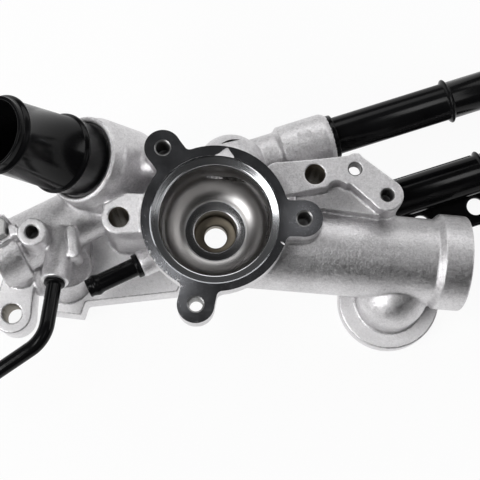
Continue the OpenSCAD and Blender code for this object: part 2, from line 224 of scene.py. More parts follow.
def cast_material(name, metallic, dark, light, r0, r1, grain):
    """Shot-blasted casting: fine grain, soft mottling, edges a little brighter, hollows a little darker."""
    m, nt, s = new_material(name)
    v = coords(nt)
    fine = noise(nt, v, 1250, 4, 0.65)
    mid = noise(nt, v, 560, 4, 0.62)
    wide = noise(nt, v, 55, 3, 0.55)
    tone = weighted(nt, (wide, 0.3), (mid, 0.3), (fine, 0.4))
    col = ramp(nt, tone, (0.40, dark), (0.60, light))
    geo = node(nt, "ShaderNodeNewGeometry")
    edge = ramp(nt, geo.outputs["Pointiness"], (0.42, 0.86), (0.5, 1.0), (0.6, 1.1))
    col = mix(nt, 1.0, col, edge, "MULTIPLY")
    specks = noise(nt, coords(nt, location=(0.3, 0.1, 0.7)), 420, 2, 0.5)
    col = mix(nt, 1.0, col, ramp(nt, specks, (0.70, 1.0), (0.78, 0.72)), "MULTIPLY")
    nt.links.new(col, s.inputs["Base Color"])
    nt.links.new(ramp(nt, mid, (0.3, r0), (0.7, r1)), s.inputs["Roughness"])
    s.inputs["Metallic"].default_value = metallic
    bump(nt, s, weighted(nt, (fine, 0.8), (mid, 0.6)), grain, 0.0004)
    return m


def machined_material():
    """Milled sealing face: nearly a mirror, with fine scratches, dull areas and chipped edges."""
    m, nt, s = new_material("milled_aluminium")
    s.inputs["Metallic"].default_value = 1.0
    one_way = noise(nt, coords(nt, (90, 5200, 200), (0, 0, 0.5)), 1.0, 3, 0.6)
    other_way = noise(nt, coords(nt, (4600, 110, 200), (0, 0, -0.35)), 1.0, 3, 0.6)
    wide = noise(nt, coords(nt), 90, 4, 0.6)
    dots = noise(nt, coords(nt), 2200, 2, 0.5)
    scratch = ramp(nt, one_way, (0.60, 0.0), (0.78, 1.0))
    scratch = math_node(nt, "MAXIMUM", scratch, ramp(nt, other_way, (0.60, 0.0), (0.78, 1.0)))
    scratch = math_node(nt, "MAXIMUM", scratch, ramp(nt, dots, (0.66, 0.0), (0.76, 1.0)))
    haze = math_node(nt, "MAXIMUM", spot(nt, (-20, -22, 0), 3, 22), spot(nt, (36, 1.5, 0), 2, 15))
    haze = math_node(nt, "MULTIPLY", haze, ramp(nt, wide, (0.25, 0.75), (0.7, 1.0)))
    edge = math_node(nt, "SUBTRACT", 1.0, spot(nt, (0, 0.8, 0), 29.0, 30.2))
    edge = math_node(nt, "MULTIPLY", edge, spot(nt, (-24, -17, 0), 12, 17))
    chips = ramp(nt, noise(nt, coords(nt), 620, 5, 0.7), (0.56, 0.0), (0.62, 1.0))
    chips = math_node(nt, "MULTIPLY", chips, edge)
    col = mix(nt, scratch, (0.66, 0.67, 0.71), (0.74, 0.745, 0.77))
    nt.links.new(mix(nt, chips, col, (0.92, 0.91, 0.90)), s.inputs["Base Color"])
    rough = ramp(nt, wide, (0.3, 0.10), (0.7, 0.17))
    rough = mix(nt, math_node(nt, "MULTIPLY", scratch, 0.6), rough, 0.34)
    rough = mix(nt, haze, rough, 0.30)
    nt.links.new(mix(nt, chips, rough, 0.65), s.inputs["Roughness"])
    bump(nt, s, weighted(nt, (scratch, 0.4), (wide, 0.6)), 0.08, 0.0002)
    return m


def turned_material(name, color, r0, r1, aniso, pitch):
    """Turned surface around the pocket's axis: rings in tone, gloss and height, stretched highlights."""
    m, nt, s = new_material(name)
    s.inputs["Metallic"].default_value = 1.0
    s.inputs["Anisotropic"].default_value = aniso
    tangent = node(nt, "ShaderNodeTangent", direction_type="RADIAL", axis="Z")
    nt.links.new(tangent.outputs[0], s.inputs["Tangent"])
    tc = node(nt, "ShaderNodeTexCoord")
    xyz = node(nt, "ShaderNodeSeparateXYZ")
    nt.links.new(tc.outputs["Object"], xyz.inputs[0])
    x2 = math_node(nt, "POWER", xyz.outputs[0], 2.0)
    y2 = math_node(nt, "POWER", xyz.outputs[1], 2.0)
    radius = math_node(nt, "SQRT", math_node(nt, "ADD", x2, y2))
    along = node(nt, "ShaderNodeCombineXYZ")
    nt.links.new(math_node(nt, "SUBTRACT", radius, xyz.outputs[2]), along.inputs[0])
    rings = noise(nt, along.outputs[0], pitch, 4, 0.7)
    bands = noise(nt, along.outputs[0], pitch * 0.12, 2, 0.5)
    smear = noise(nt, coords(nt), 60, 2, 0.5)
    dark = tuple(0.72 * c for c in color)
    tone = weighted(nt, (rings, 0.5), (bands, 0.5))
    nt.links.new(ramp(nt, tone, (0.35, dark), (0.65, color)), s.inputs["Base Color"])
    gloss = weighted(nt, (bands, 0.75), (smear, 0.25))
    nt.links.new(ramp(nt, gloss, (0.35, r0), (0.65, r1)), s.inputs["Roughness"])
    bump(nt, s, rings, 0.06, 0.0002)
    return m


def bore_material(name, color, rough, thread):
    """Inside of a drilled hole, with tool marks or the turns of a thread."""
    m, nt, s = new_material(name)
    s.inputs["Metallic"].default_value = 0.85
    grime = noise(nt, coords(nt, (1, 1, 3)), 300, 4, 0.6)
    dark = tuple(0.45 * c for c in color)
    nt.links.new(ramp(nt, grime, (0.3, dark), (0.7, color)), s.inputs["Base Color"])
    nt.links.new(ramp(nt, grime, (0.3, rough), (0.7, rough + 0.2)), s.inputs["Roughness"])
    w = node(nt, "ShaderNodeTexWave", Scale=thread, Distortion=0.4, wave_type="BANDS", bands_direction="Z")
    nt.links.new(coords(nt), w.inputs["Vector"])
    bump(nt, s, w.outputs["Fac"], 0.5, 0.0003)
    return m


def black_material():
    """Gloss black coating on steel tube: faint ripple, dust and small rubbed spots."""
    m, nt, s = new_material("black_coating")
    v = coords(nt)
    ripple = noise(nt, v, 260, 3, 0.5)
    dust = noise(nt, v, 1500, 3, 0.6)
    wide = noise(nt, v, 45, 3, 0.6)
    speck = ramp(nt, dust, (0.70, 0.0), (0.78, 1.0))
    base = ramp(nt, wide, (0.3, (0.003, 0.003, 0.0033)), (0.7, (0.006, 0.006, 0.0065)))
    base = mix(nt, math_node(nt, "MULTIPLY", speck, 0.25), base, (0.05, 0.05, 0.052))
    nt.links.new(base, s.inputs["Base Color"])
    rough = ramp(nt, wide, (0.3, 0.14), (0.7, 0.20))
    nt.links.new(mix(nt, speck, rough, 0.4), s.inputs["Roughness"])
    s.inputs["Specular IOR Level"].default_value = 0.13
    bump(nt, s, weighted(nt, (ripple, 0.8), (speck, 0.3)), 0.08, 0.0003)
    return m


def zinc_material():
    """Dull zinc plating on a steel screw."""
    m, nt, s = new_material("zinc_plating")
    s.inputs["Metallic"].default_value = 0.9
    v = coords(nt)
    wide = noise(nt, v, 180, 4, 0.6)
    fine = noise(nt, v, 1400, 4, 0.6)
    tone = ramp(nt, wide, (0.3, (0.42, 0.42, 0.41)), (0.7, (0.60, 0.60, 0.60)))
    nt.links.new(tone, s.inputs["Base Color"])
    nt.links.new(ramp(nt, fine, (0.3, 0.32), (0.7, 0.48)), s.inputs["Roughness"])
    bump(nt, s, fine, 0.15, 0.0002)
    return m


CAST = cast_material("cast_aluminium", 1.0, (0.55, 0.54, 0.55), (0.81, 0.80, 0.81), 0.36, 0.48, 0.7)
FLAT = cast_material("blasted_flat", 0.35, (0.70, 0.69, 0.70), (0.90, 0.89, 0.90), 0.5, 0.65, 0.7)
# A darker copy of the flat finish for the ear and the web: painted shade
FLAT_PAINTED_SHADE = cast_material("flat_painted_shade", 0.35, (0.50, 0.49, 0.50), (0.74, 0.73, 0.74), 0.5, 0.65, 0.8)
# A lighter, less metallic copy of the flat finish for the pad, base plate and rear flange: painted light
FLAT_PAINTED_LIGHT = cast_material("flat_painted_light", 0.1, (0.82, 0.81, 0.82), (0.98, 0.97, 0.98), 0.5, 0.65, 0.7)
# Near black for the inside of the cast slots: painted shade
SLOT_PAINTED_SHADE = cast_material("slot_painted_shade", 0.2, (0.012, 0.011, 0.010), (0.05, 0.047, 0.043), 0.6, 0.8, 0.8)
MILLED = machined_material()
TURNED = turned_material("turned_pocket", (0.51, 0.50, 0.495), 0.29, 0.37, 0.6, 900)
LEDGE = turned_material("turned_ledge", (0.64, 0.65, 0.67), 0.09, 0.15, 0.3, 1500)
STEP = turned_material("turned_step", (0.50, 0.50, 0.51), 0.14, 0.22, 0.5, 1500)
WELL = turned_material("well_wall", (0.24, 0.21, 0.165), 0.40, 0.55, 0.5, 700)
TAPPED = bore_material("tapped_hole", (0.40, 0.40, 0.40), 0.32, 260)
DRILLED = bore_material("drilled_hole", (0.36, 0.32, 0.26), 0.4, 120)
BLACK = black_material()
ZINC = zinc_material()


# Meshes

def make(name, points, faces, material=None):
    """Smooth object from points in mm and faces."""
    me = bpy.data.meshes.new(name)
    corners = [tuple(float(c) * MM for c in p) for p in points]
    me.from_pydata(corners, [], [tuple(int(i) for i in f) for f in faces])
    me.update()
    ob = bpy.data.objects.new(name, me)
    scene.collection.objects.link(ob)
    if material:
        me.materials.append(material)
    me.polygons.foreach_set("use_smooth", [True] * len(me.polygons))
    return ob


def basis(direction):
    """Two directions square to a given one, and that one."""
    w = unit(direction)
    a = vec(1, 0, 0) if abs(w[0]) < 0.8 else vec(0, 1, 0)
    u = unit(np.cross(a, w))
    return u, np.cross(w, u), w


def lathe_data(profile, origin, direction, seg):
    """Closed solid turned around an axis. The profile is a loop of (radius, distance along the axis)."""
    u, v, w = basis(direction)
    origin = np.asarray(origin, float)
    pts, faces, rings = [], [], []
    for r, s in profile:
        if r < 1e-6:
            rings.append([len(pts)])
            pts.append(origin + s * w)
        else:
            start = len(pts)
            for k in range(seg):
                a = 2 * math.pi * k / seg
                pts.append(origin + s * w + r * (math.cos(a) * u + math.sin(a) * v))
            rings.append(list(range(start, start + seg)))
    n = len(rings)
    for i in range(n):
        a = rings[i]
        b = rings[(i + 1) % n]
        if len(a) == 1 and len(b) == 1:
            continue
        for k in range(seg):
            j = (k + 1) % seg
            if len(a) == 1:
                faces.append((a[0], b[j], b[k]))
            elif len(b) == 1:
                faces.append((a[k], a[j], b[0]))
            else:
                faces.append((a[k], a[j], b[j], b[k]))
    return pts, faces


def box_data(lo, hi):
    pts = [(x, y, z) for z in (lo[2], hi[2]) for y in (lo[1], hi[1]) for x in (lo[0], hi[0])]
    return pts, [(0, 2, 3, 1), (4, 5, 7, 6), (0, 1, 5, 4), (1, 3, 7, 5), (3, 2, 6, 7), (2, 0, 4, 6)]


def prism_data(outline, low, high):
    """Upright solid over an outline of (x, y)."""
    k = len(outline)
    pts = [(x, y, z) for z in (low, high) for x, y in outline]
    sides = [(i, (i + 1) % k, k + (i + 1) % k, k + i) for i in range(k)]
    return pts, sides + [tuple(range(k)), tuple(range(k, 2 * k))]


def outward(ob):
    bm = bmesh.new()
    bm.from_mesh(ob.data)
    bmesh.ops.recalc_face_normals(bm, faces=bm.faces)
    bm.to_mesh(ob.data)
    bm.free()
    return ob


def lathe(name, profile, origin, direction, material, seg):
    return outward(make(name, *lathe_data(profile, origin, direction, seg), material))


def sharpen(ob, degrees):
    """Smooth shading that breaks at edges sharper than an angle."""
    ob.data.polygons.foreach_set("use_smooth", [True] * len(ob.data.polygons))
    ob.data.set_sharp_from_angle(angle=math.radians(degrees))
    return ob


def arc(cx, cy, r, a0, a1, n):
    """Points of an arc in a profile, angles in degrees."""
    angles = [math.radians(a0 + (a1 - a0) * i / n) for i in range(n + 1)]
    return [(cx + r * math.cos(a), cy + r * math.sin(a)) for a in angles]


def joined(solids):
    pts, faces = [], []
    for p, f in solids:
        k = len(pts)
        pts += list(p)
        faces += [tuple(i + k for i in q) for q in f]
    return pts, faces


def applied(ob):
    """The object with its modifiers made part of its mesh."""
    dg = bpy.context.evaluated_depsgraph_get()
    me = bpy.data.meshes.new_from_object(ob.evaluated_get(dg))
    ob.modifiers.clear()
    old = ob.data
    ob.data = me
    bpy.data.meshes.remove(old)
    return ob


def cut(ob, cutter, operation="DIFFERENCE"):
    """Boolean with a cutter, whose material goes onto the new faces."""
    m = ob.modifiers.new("cut", "BOOLEAN")
    m.operation = operation
    m.object = cutter
    m.solver = "MANIFOLD"
    m.material_mode = "TRANSFER"
    applied(ob)
    bpy.data.objects.remove(cutter)
    if len(ob.data.polygons) == 0:
        raise RuntimeError("a cut left nothing")
    return ob


# Rounding of a solid through its distance field

def arrays(ob):
    """Points in mm and triangles of an object."""
    me = ob.data
    v = np.empty(len(me.vertices) * 3, np.float32)
    me.vertices.foreach_get("co", v)
    me.calc_loop_triangles()
    t = np.empty(len(me.loop_triangles) * 3, np.int32)
    me.loop_triangles.foreach_get("vertices", t)
    return v.reshape(-1, 3) * 1000, t.reshape(-1, 3).astype(np.uint32)


def merged(p, t, solids):
    """Points and triangles of a mesh with further solids laid into it."""
    for pts, faces in solids:
        tris = [(f[0], f[i], f[i + 1]) for f in faces for i in range(1, len(f) - 1)]
        t = np.concatenate([t, np.array(tris, np.uint32) + np.uint32(len(p))])
        p = np.concatenate([p, np.array(pts, np.float32)])
    return p, t


def shifted(points, tris, quads, iso, vox):
    """Surface at a distance outside a closed surface, or inside it where the distance is negative."""
    grid = vdb.FloatGrid.createLevelSetFromPolygons(
        points,
        triangles=tris,
        quads=quads,
        transform=vdb.createLinearTransform(vox),
        halfWidth=abs(iso) / vox + 3)
    return grid.convertToPolygons(isovalue=iso)


def rounded(points, tris, fillet, edge, vox):
    """Fillets in the hollows and rounds on the edges, as a casting has them."""
    p = points.astype(np.float32)
    t = tris
    q = np.zeros((0, 4), np.uint32)
    if fillet > 0:
        p, t, q = shifted(p, t, q, fillet, vox)
    p, t, q = shifted(p, t, q, -(fillet + edge), vox)
    return shifted(p, t, q, edge, vox)


def from_field(name, data, material, most):
    """Object from points, triangles and quads, with no more than a number of triangles."""
    p, t, q = data
    me = bpy.data.meshes.new(name)
    n3 = len(t)
    n4 = len(q)
    me.vertices.add(len(p))
    me.vertices.foreach_set("co", (np.asarray(p, np.float32) * MM).ravel())
    loops = np.concatenate([np.asarray(t, np.int64).ravel(), np.asarray(q, np.int64).ravel()])
    me.loops.add(len(loops))
    me.loops.foreach_set("vertex_index", loops.astype(np.int32))
    starts = np.concatenate([np.arange(n3) * 3, n3 * 3 + np.arange(n4) * 4])
    me.polygons.add(n3 + n4)
    me.polygons.foreach_set("loop_start", starts.astype(np.int32))
    me.update(calc_edges=True)
    me.validate()
    me.materials.append(material)
    ob = bpy.data.objects.new(name, me)
    scene.collection.objects.link(ob)
    count = n3 + 2 * n4
    if count > most:
        d = ob.modifiers.new("fewer", "DECIMATE")
        d.ratio = most / count
        applied(ob)
    return outward(ob)


def finish_piece(ob, stands_for):
    """Texture space around the origin, so that radial tangents run round the pocket's axis."""
    ob.data.use_auto_texspace = False
    ob.data.texspace_location = (0, 0, 0)
    ob.data.texspace_size = (0.1, 0.1, 0.1)
    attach(ob, "root")
    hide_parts(stands_for)


# Casting: a raw shape with stock on the machined faces, rounded, then machined

def capsule_data(a, b, r, seg=40):
    """Rod with round ends."""
    a = np.asarray(a, float)
    b = np.asarray(b, float)
    n = np.linalg.norm(b - a)
    profile = [(0, -r)] + arc(0, 0, r, -90, 0, 8)[1:]
    profile += [(x, n + y) for x, y in arc(0, 0, r, 0, 90, 8)[:-1]] + [(0, n + r)]
    return lathe_data(profile, a, b - a, seg)


p, t = arrays(nodes["housing"])
near_pocket = np.hypot(p[:, 0], p[:, 1]) < FLANGE_REACH
p[(np.abs(p[:, 2] - FLANGE_FACE) < 0.01) & near_pocket, 2] = FLANGE_FACE + STOCK
p[np.abs(p[:, 2] - ENGINE_FACE) < 0.01, 2] = ENGINE_FACE - STOCK

# Soft blends: pad to lobe, lobe to base plate, neck socket to left lug, and the step on the neck socket
socket_step = [(17, -20), (19.6, -20), (19.6, -9), (18.7, -2.6), (17, -2.6)]
blends = [
    capsule_data((-76.8, -13, -44), (-77.5, -21, -52), 3.0),
    capsule_data((-58.5, -2, -47), (-58.5, -9, -47), 3.0),
    capsule_data((-38, 27, -19), (-27, 26.5, -14), 5.5),
    lathe_data(socket_step, neck_mouth, neck_way, 96)]
p, t = merged(p, t, blends)
casting = from_field("casting", rounded(p, t, FILLET, EDGE_ROUND, CASTING_VOXEL), CAST, CASTING_TRIANGLES)
for material in (FLAT, BLACK, FLAT_PAINTED_SHADE, FLAT_PAINTED_LIGHT):
    casting.data.materials.append(material)


def mark_flats(ob):
    """Give the blasted flat faces their own finish, a darker copy of it on the ear and the web as painted
    shade, a lighter copy on the pad, base plate and rear flange as painted light, and the lip around the
    upper pipe the black coating's material.
    """
    me = ob.data
    n = len(me.polygons)
    normal = np.empty(n * 3, np.float32)
    me.polygons.foreach_get("normal", normal)
    middle = np.empty(n * 3, np.float32)
    me.polygons.foreach_get("center", middle)
    middle = middle.reshape(-1, 3) * 1000
    level = normal.reshape(-1, 3)[:, 2] > 0.985

    def at(height):
        return level & (np.abs(middle[:, 2] - height) < LEVEL_TOLERANCE)

    slots = [m.name for m in me.materials]
    idx = np.zeros(n, np.int32)
    idx[at(COLUMN_TOP)] = slots.index(FLAT.name)
    # Painted shade: a darker copy of the flat finish on the ear and the web
    idx[at(EAR_TOP)] = slots.index(FLAT_PAINTED_SHADE.name)
    idx[at(WEB_TOP) & (middle[:, 1] > 4)] = slots.index(FLAT_PAINTED_SHADE.name)
    # Painted light: a lighter copy of the flat finish on the pad, base plate and rear flange
    for height in (PAD_TOP, PLATE_TOP, REAR_FLANGE_TOP):
        idx[at(height)] = slots.index(FLAT_PAINTED_LIGHT.name)
    rel = middle - upper_mouth
    along = rel @ upper_way
    off = np.linalg.norm(rel - along[:, None] * upper_way, axis=1)
    idx[(along > -2.3) & (along < 0.5) & (off < 10.3)] = slots.index(BLACK.name)
    me.polygons.foreach_set("material_index", idx)


def carve(data, material, operation="DIFFERENCE"):
    """Cut a closed solid out of the casting, or add it."""
    cut(casting, outward(make("cutter", *data, material)), operation)


def turn_out(profile, material, seg, centre=POCKET_CENTRE, axis=Z_AXIS):
    """Cut a turned shape out of the casting."""
    carve(lathe_data(profile, centre, axis, seg), material)


def sector_data(sections, r0, r1):
    """Solid between two radii around the pocket's axis. A section is (angle in degrees, low z, high z)."""
    pts, faces = [], []
    for a, lo, hi in sections:
        c = math.cos(math.radians(a))
        d = math.sin(math.radians(a))
        pts += [(r * c, r * d, z) for r, z in ((r0, lo), (r1, lo), (r1, hi), (r0, hi))]
    n = len(sections)
    for i in range(n - 1):
        for k in range(4):
            j = (k + 1) % 4
            faces.append((4 * i + k, 4 * i + j, 4 * i + 4 + j, 4 * i + 4 + k))
    return pts, faces + [(3, 2, 1, 0), (4 * n - 4, 4 * n - 3, 4 * n - 2, 4 * n - 1)]


def ragged(angles, middles, halves, steps, jag):
    """Sections of a cast slot with torn edges."""
    out = []
    order = 1 if angles[-1] > angles[0] else -1
    along = order * np.array(angles)
    for i, a in enumerate(np.linspace(angles[0], angles[-1], steps)):
        z = np.interp(order * a, along, middles)
        h = np.interp(order * a, along, halves)
        lo = jag * math.sin(2.9 * i) * math.sin(1.3 * i + 1)
        hi = jag * math.sin(3.7 * i + 2) * math.sin(0.9 * i)
        out.append((a, z - h - lo, z + h + hi))
    return out


def spindle_data(p, q, r):
    """Thin pointed body between two points, for scratches and cast slots."""
    p = np.asarray(p, float)
    q = np.asarray(q, float)
    n = np.linalg.norm(q - p)
    profile = [(r * math.sin(math.pi * k / 12), n * k / 12) for k in range(1, 12)]
    return lathe_data([(0, 0)] + profile + [(0, n)], p, q - p, 24)


def hole_data(at, face, r, depth, chamfer):
    """Cutter of a drilled hole with a chamfered mouth and a drill point, along -Z."""
    profile = [(0, face + 2), (r + chamfer + 2, face + 2), (r, face - chamfer)]
    profile += [(r, face - depth), (0, face - depth - 0.5 * r)]
    return lathe_data(profile, (at[0], at[1], 0), Z_AXIS, 56)


mark_flats(casting)

# The raw pocket and its recess are filled, so that they can be turned to their true shape
plug = [(0, 1.0), (28.2, 1.0), (28.2, -2.8), (24.2, -2.8), (24.2, -11.6)]
plug += [(r, -3 - math.sqrt(25.3 ** 2 - r * r)) for r in np.linspace(23.8, 10.6, 20)]
plug += [(10.2, -27.6), (10.2, -38.2), (5.8, -38.2), (5.8, -42.4), (0, -42.4)]
carve(lathe_data(plug, POCKET_CENTRE, Z_AXIS, 128), CAST, "UNION")

# Milled faces
carve(box_data((-36, -52, FLANGE_FACE), (47, 50, FLANGE_FACE + 6)), MILLED)
carve(box_data((-120, -80, ENGINE_FACE - 9), (150, 90, ENGINE_FACE)), MILLED)

# Walls around the cast slots, near black as painted shade
for first, last in ((46, 112), (-32, 34)):
    block = [(a, -20.5, -10.2) for a in np.linspace(first, last, 24)]
    carve(sector_data(block, 17.5, 27.4), SLOT_PAINTED_SHADE, "UNION")

# Recess: a shallow cone, a narrow floor and broken edges
ledge = [(0, 3), (27.9, 3), (27.1, 0.35), (26.8, -0.25), (26.6, -1.1), (26.45, -1.25)]
ledge += [(26.35, -1.27), (23.9, -1.75), (23.8, -1.77), (23.5, -1.9), (WALL_R, -2.4), (0, -2.4)]
turn_out(ledge, LEDGE, 240, RECESS_CENTRE)

# Pocket: its wall, the step in its floor, and the well with the drain hole
wall = [(0, -1.5), (WALL_R, -1.5), (WALL_R, WALL_TOP)]
for a in np.linspace(0.03, 1.2, 48):
    wall.append((WALL_R - WALL_ACROSS + WALL_ACROSS * math.cos(a), WALL_TOP - WALL_DEEP * math.sin(a)))
wall += [(STEP_R + 0.1, -23.82), (STEP_R, -24.2), (0, -24.2)]
turn_out(wall, TURNED, 240)
step = [(0, -23.6), (STEP_R, -23.6), (STEP_R, -24.45), (STEP_R - 0.1, -24.5), (STEP_R - 0.2, -24.51)]
step += [(WELL_R + 0.5, -24.8), (WELL_R + 0.4, -24.82), (WELL_R, -25.2), (0, -25.2)]
turn_out(step, STEP, 240)
well = [(0, -24.6), (WELL_R, -24.6), (WELL_R, -36.8), (WELL_R - 0.6, -37.2), (DRAIN_R + 0.4, -37.2)]
well += [(DRAIN_R, -37.6), (DRAIN_R, ENGINE_FACE - 2), (0, ENGINE_FACE - 2)]
turn_out(well, WELL, 200)

# Cast slots that break through the pocket's wall, and the leaf-shaped slot on the top boss; all but the
# second are near black inside as painted shade
torn = ragged((55, 62, 70, 82), (-12.8, -13.9, -15.1, -16.2), (0.15, 1.0, 1.5, 0.5), 40, 0.3)
carve(sector_data(torn, 17, 26.2), SLOT_PAINTED_SHADE)
torn = ragged((81, 90, 98, 104), (-16.1, -15.9, -15.2, -14.6), (0.4, 0.9, 0.8, 0.1), 30, 0.2)
carve(sector_data(torn, 17, 22.6), CAST)
torn = ragged((24, 15, 2, -9, -21), (-13.4, -12.4, -13.7, -14.9, -14.5), (0.15, 0.8, 0.7, 0.8, 0.1), 60, 0.45)
carve(sector_data(torn, 17, 26.2), SLOT_PAINTED_SHADE)
carve(spindle_data((2.2, 34.9, -10.0), (10.6, 37.3, -12.1), 0.85), SLOT_PAINTED_SHADE)

# Unmachined corner in the flange, a scratch, and the flat mark on the upper socket
corner = [(-0.6, 26.4), (-0.1, 27.3), (1.6, 28.1), (4.2, 30.2)]
corner += [(5.2, 30.4), (7.8, 26.6), (7.6, 25.6), (3.5, 25.9)]
carve(prism_data(corner, FLANGE_FACE - 0.3, FLANGE_FACE + 2.0), FLAT)
carve(spindle_data((26.6, -9.0, 0.12), (29.0, -10.8, 0.12), 0.35), FLAT)
ejector_mark = [(0, 2), (3.3, 2), (3.3, -0.35), (0, -0.35)]
turn_out(ejector_mark, CAST, 48, (38.2, 40.8, -18.2), (-0.04, 0.12, 0.99))

# Rounded lip of the neck's socket
lip = [(15.2, 1.0), (15.2, -1.6), (15.9, -1.5)] + arc(17.2, -1.3, 1.3, 180, 60, 8)
lip += arc(16.1, -3.2, 3.2, 60, 8, 6) + [(20.5, -3.2), (20.5, 1.0)]
turn_out(lip, CAST, 144, neck_mouth, neck_way)

# Drilled and tapped holes: face, radius, depth and chamfer
tapped = []
for name, depth in (("cover_hole_left", 15), ("cover_hole_right", 13), ("cover_hole_lower", 30)):
    tapped.append(hole_data(place(name)[0], FLANGE_FACE, 2.85, depth, 0.7))
for name, face, depth in (
        ("ear_tapped_a", EAR_TOP, 20),
        ("ear_tapped_b", EAR_TOP, 12),
        ("boss_tapped", COLUMN_TOP, 14)):
    tapped.append(hole_data(place(name)[0], face, 2.62, depth, 0.6))
drilled = []
for name, face, depth in (
        ("engine_bolt_left", COLUMN_TOP, 62),
        ("engine_bolt_right", EAR_TOP, 59),
        ("engine_bolt_pad", PAD_TOP, 20)):
    drilled.append(hole_data(place(name)[0], face, 4.32, depth, 0.35))
carve(joined(tapped), TAPPED)
carve(joined(drilled), DRILLED)

# Milled faces are shaded flat, so that cuts beside them leave no trace
sharpen(casting, 34)
slots = [m.name for m in casting.data.materials]
idx = np.empty(len(casting.data.polygons), np.int32)
casting.data.polygons.foreach_get("material_index", idx)
casting.data.polygons.foreach_set("use_smooth", idx != slots.index(MILLED.name))
finish_piece(casting, "housing")


# Black pipes

def bead(base, height, centre, half, n=12):
    """Rolled bead in the outer line of a tube."""
    line = []
    for i in range(n + 1):
        t = -1 + 2 * i / n
        rise = height * math.cos(math.pi / 2 * t) ** 1.4 if abs(t) < 1 else 0
        line.append((base + rise, centre + half * t))
    return line


def tube(name, stands_for, outer, bore, start, end, mouth, way, seg):
    """Straight tube: its outer line from start to end along its way, a rounded lip, and its bore."""
    profile = [(bore, start), (outer[0][0], start)] + outer
    r1 = outer[-1][0]
    k = min(0.5, (r1 - bore) / 2 - 0.05)
    profile += arc(r1 - k, end - k, k, 0, 90, 4) + arc(bore + k, end - k, k, 90, 180, 4)
    ob = lathe(name, profile, mouth, way, BLACK, seg)
    finish_piece(sharpen(ob, 50), stands_for)


line = [(NECK_R, -12.9)] + bead(NECK_R, 1.3, 12.4, 1.9) + bead(14.72, 1.3, 46.5, 2.0) + [(14.7, 49)]
tube("neck", "hose_neck", line, NECK_BORE, -13, 51, neck_mouth, neck_way, 144)

line = [(UPPER_R, -17.9)] + bead(UPPER_R, 1.6, 52, 1.4) + [(UPPER_R, 91)]
tube("heater_pipe", "upper_pipe", line, UPPER_BORE, -18, 92, upper_mouth, upper_way, 112)

line = [(LOWER_R, -14.9)] + bead(LOWER_R, 1.6, 48, 1.4) + [(LOWER_R, 65)]
tube("bypass_pipe", "lower_pipe", line, LOWER_BORE, -15, 66, lower_mouth, lower_way, 112)

line = [(NIPPLE_R, -6.9), (NIPPLE_R, 0.0), (4.9, 0.0), (5.2, 0.3), (5.2, 2.1), (4.9, 2.4), (NIPPLE_R, 2.5)]
line += bead(NIPPLE_R, 0.6, 20.5, 2.2) + [(3.95, 23.6)]
tube("spigot", "hose_nipple", line, NIPPLE_BORE, -7, 24.5, nipple_mouth, nipple_way, 72)


def sweep_data(path, radius, seg):
    """Rings of a tube along a path."""
    path = [np.asarray(q, float) for q in path]
    angles = [2 * math.pi * k / seg for k in range(seg)]
    rings = []
    u = None
    for i, q in enumerate(path):
        d = unit(path[min(i + 1, len(path) - 1)] - path[max(i - 1, 0)])
        if u is None:
            u = basis(d)[0]
        u = unit(u - (u @ d) * d)
        v = np.cross(d, u)
        rings.append([q + radius * (math.cos(a) * u + math.sin(a) * v) for a in angles])
    return rings


def pipe_data(path, r, bore, seg=48):
    """Closed tube along a path, with its far end broken at the edges."""
    ahead = unit(np.asarray(path[-1]) - path[-2])
    loops = sweep_data(path, r, seg)
    for radius in (r - 0.2, bore + 0.2):
        loops.append([q + 0.35 * ahead for q in sweep_data(path, radius, seg)[-1]])
    loops += sweep_data(path, bore, seg)[::-1]
    n = len(loops)
    faces = []
    for i in range(n):
        a = i * seg
        b = (i + 1) % n * seg
        for k in range(seg):
            j = (k + 1) % seg
            faces.append((a + k, a + j, b + j, b + k))
    return [q for ring in loops for q in ring], faces


# Vent pipe: out of its socket, round a bend, and off to the left
vent_mouth = vec(-67.3, -23, -18)
vent_way = unit(vec(-0.09, -0.94, 0.32))
vent_end_way = unit(vec(-0.81, -0.5, -0.3))
knee = vent_mouth + 27 * vent_way
turn = math.acos(vent_way @ vent_end_way)
back = VENT_BEND * math.tan(turn / 2)
inside = np.cross(unit(np.cross(vent_way, vent_end_way)), vent_way)
bend_centre = knee - back * vent_way + VENT_BEND * inside
path = [vent_mouth - 9 * vent_way, vent_mouth, vent_mouth + 3 * vent_way]
for i in range(21):
    a = turn * i / 20
    path.append(bend_centre - VENT_BEND * math.cos(a) * inside + VENT_BEND * math.sin(a) * vent_way)
path += [knee + s * vent_end_way for s in (back + 4, 20, 41.6)]
collar = [(3.0, 0.0), (4.3, 0.0), (4.5, 0.25), (4.5, 1.3), (4.2, 1.6), (3.0, 1.7)]
vent_parts = [pipe_data(path, VENT_R, VENT_BORE), lathe_data(collar, vent_mouth, vent_way, 48)]
vent = outward(make("vent_tube", *joined(vent_parts), BLACK))
finish_piece(sharpen(vent, 50), "vent_pipe")

# Bracket and plug
p, t = arrays(nodes["pipe_bracket"])
bracket = from_field("bracket_plate", rounded(p, t, 0.0, 0.45, BRACKET_VOXEL), BLACK, SMALL_TRIANGLES)
finish_piece(sharpen(bracket, 60), "pipe_bracket")
p, t = arrays(nodes["hex_plug"])
screw = from_field("plug_screw", rounded(p, t, 0.25, 0.3, PLUG_VOXEL), ZINC, SMALL_TRIANGLES)
finish_piece(sharpen(screw, 60), "hex_plug")


# Floor, light and camera

